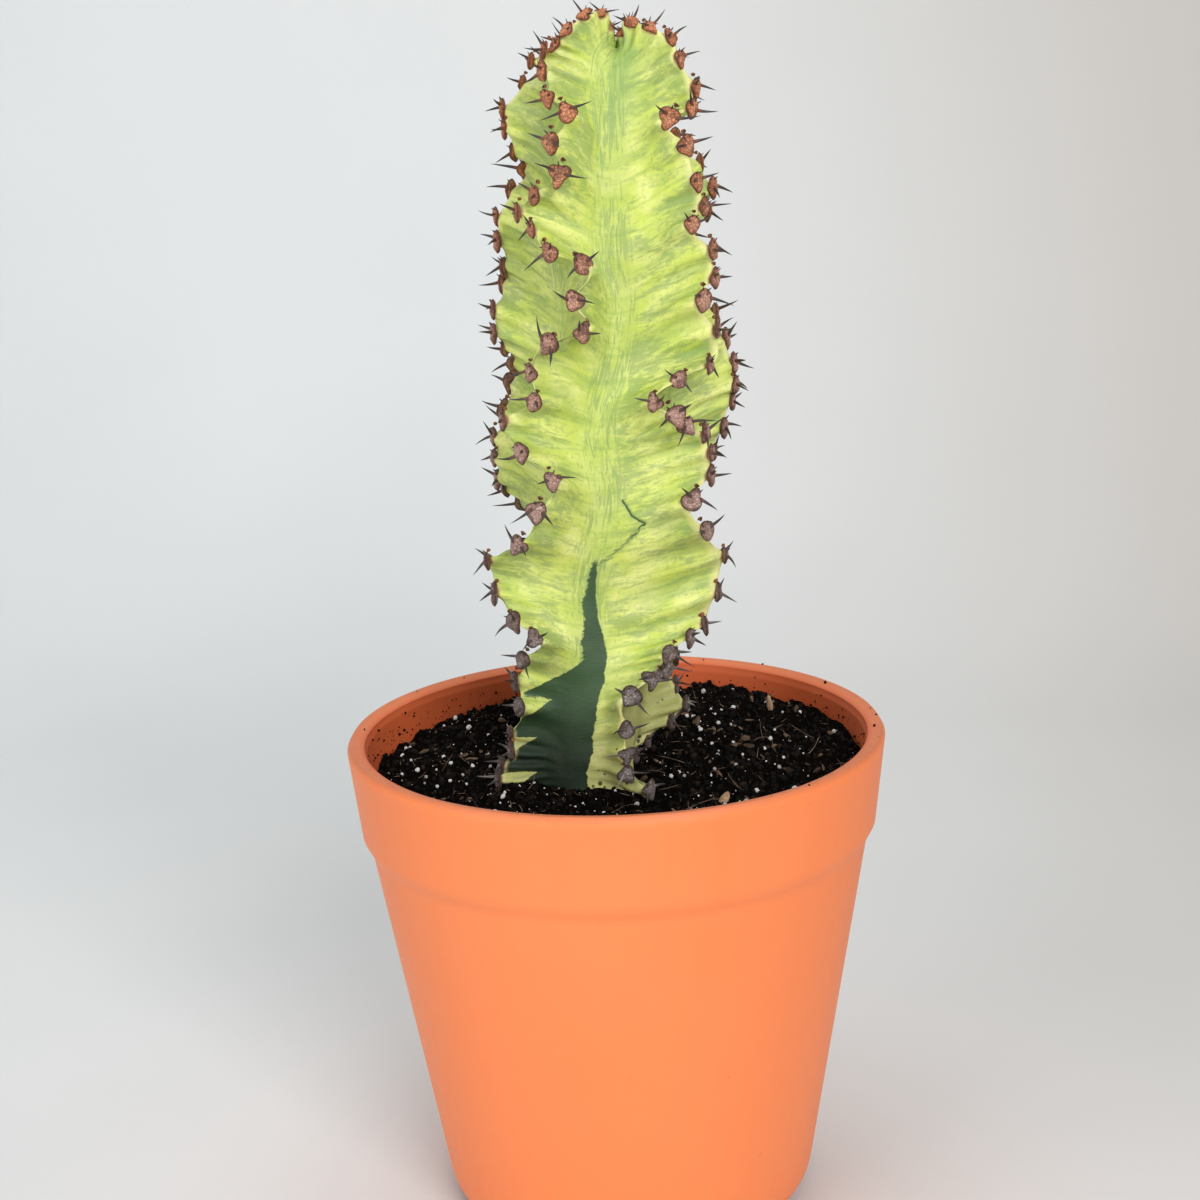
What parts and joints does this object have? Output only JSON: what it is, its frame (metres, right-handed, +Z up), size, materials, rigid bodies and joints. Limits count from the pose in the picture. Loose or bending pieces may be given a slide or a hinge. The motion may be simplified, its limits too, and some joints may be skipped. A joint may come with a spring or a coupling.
{
  "type": "potted tall cactus",
  "caption": "Tall ribbed cactus-like succulent with wavy spined crests, standing in dark peat in a tapered orange plastic pot with a plain rim band.",
  "frame": {"origin": "on the resting plane, under the middle of the pot", "axes": "+Z up along the pot's axis and the stem, -Y the front as seen, +X to the viewer's right"},
  "size_m": [0.19, 0.19, 0.4155],
  "materials": {
    "pot_plastic": "satin-matte moulded plastic, bright orange, with faint scuffs and specks",
    "peat": "loose near-black peat crumbs with fibres and small white grains",
    "stem_skin": "waxy living skin, lime to cream yellow with grey-green feathering and a dark green sector at the foot",
    "spine_cushion": "corky spine cushions, rusty when young and grey-brown when old",
    "spine": "dry dark spines in pairs",
    "perlite": "dull white expanded grains",
    "bark": "rough dry bark"
  },
  "bodies": {
    "root": {"pot": "pot_plastic", "soil": "peat", "cactus_stem": "stem_skin", "perlite_1": "perlite", "perlite_2": "perlite", "perlite_3": "perlite", "perlite_4": "perlite", "perlite_5": "perlite", "perlite_6": "perlite", "perlite_7": "perlite", "perlite_8": "perlite", "bark_chip_1": "bark", "bark_chip_2": "bark", "bark_chip_3": "bark"}
  },
  "joints": []
}
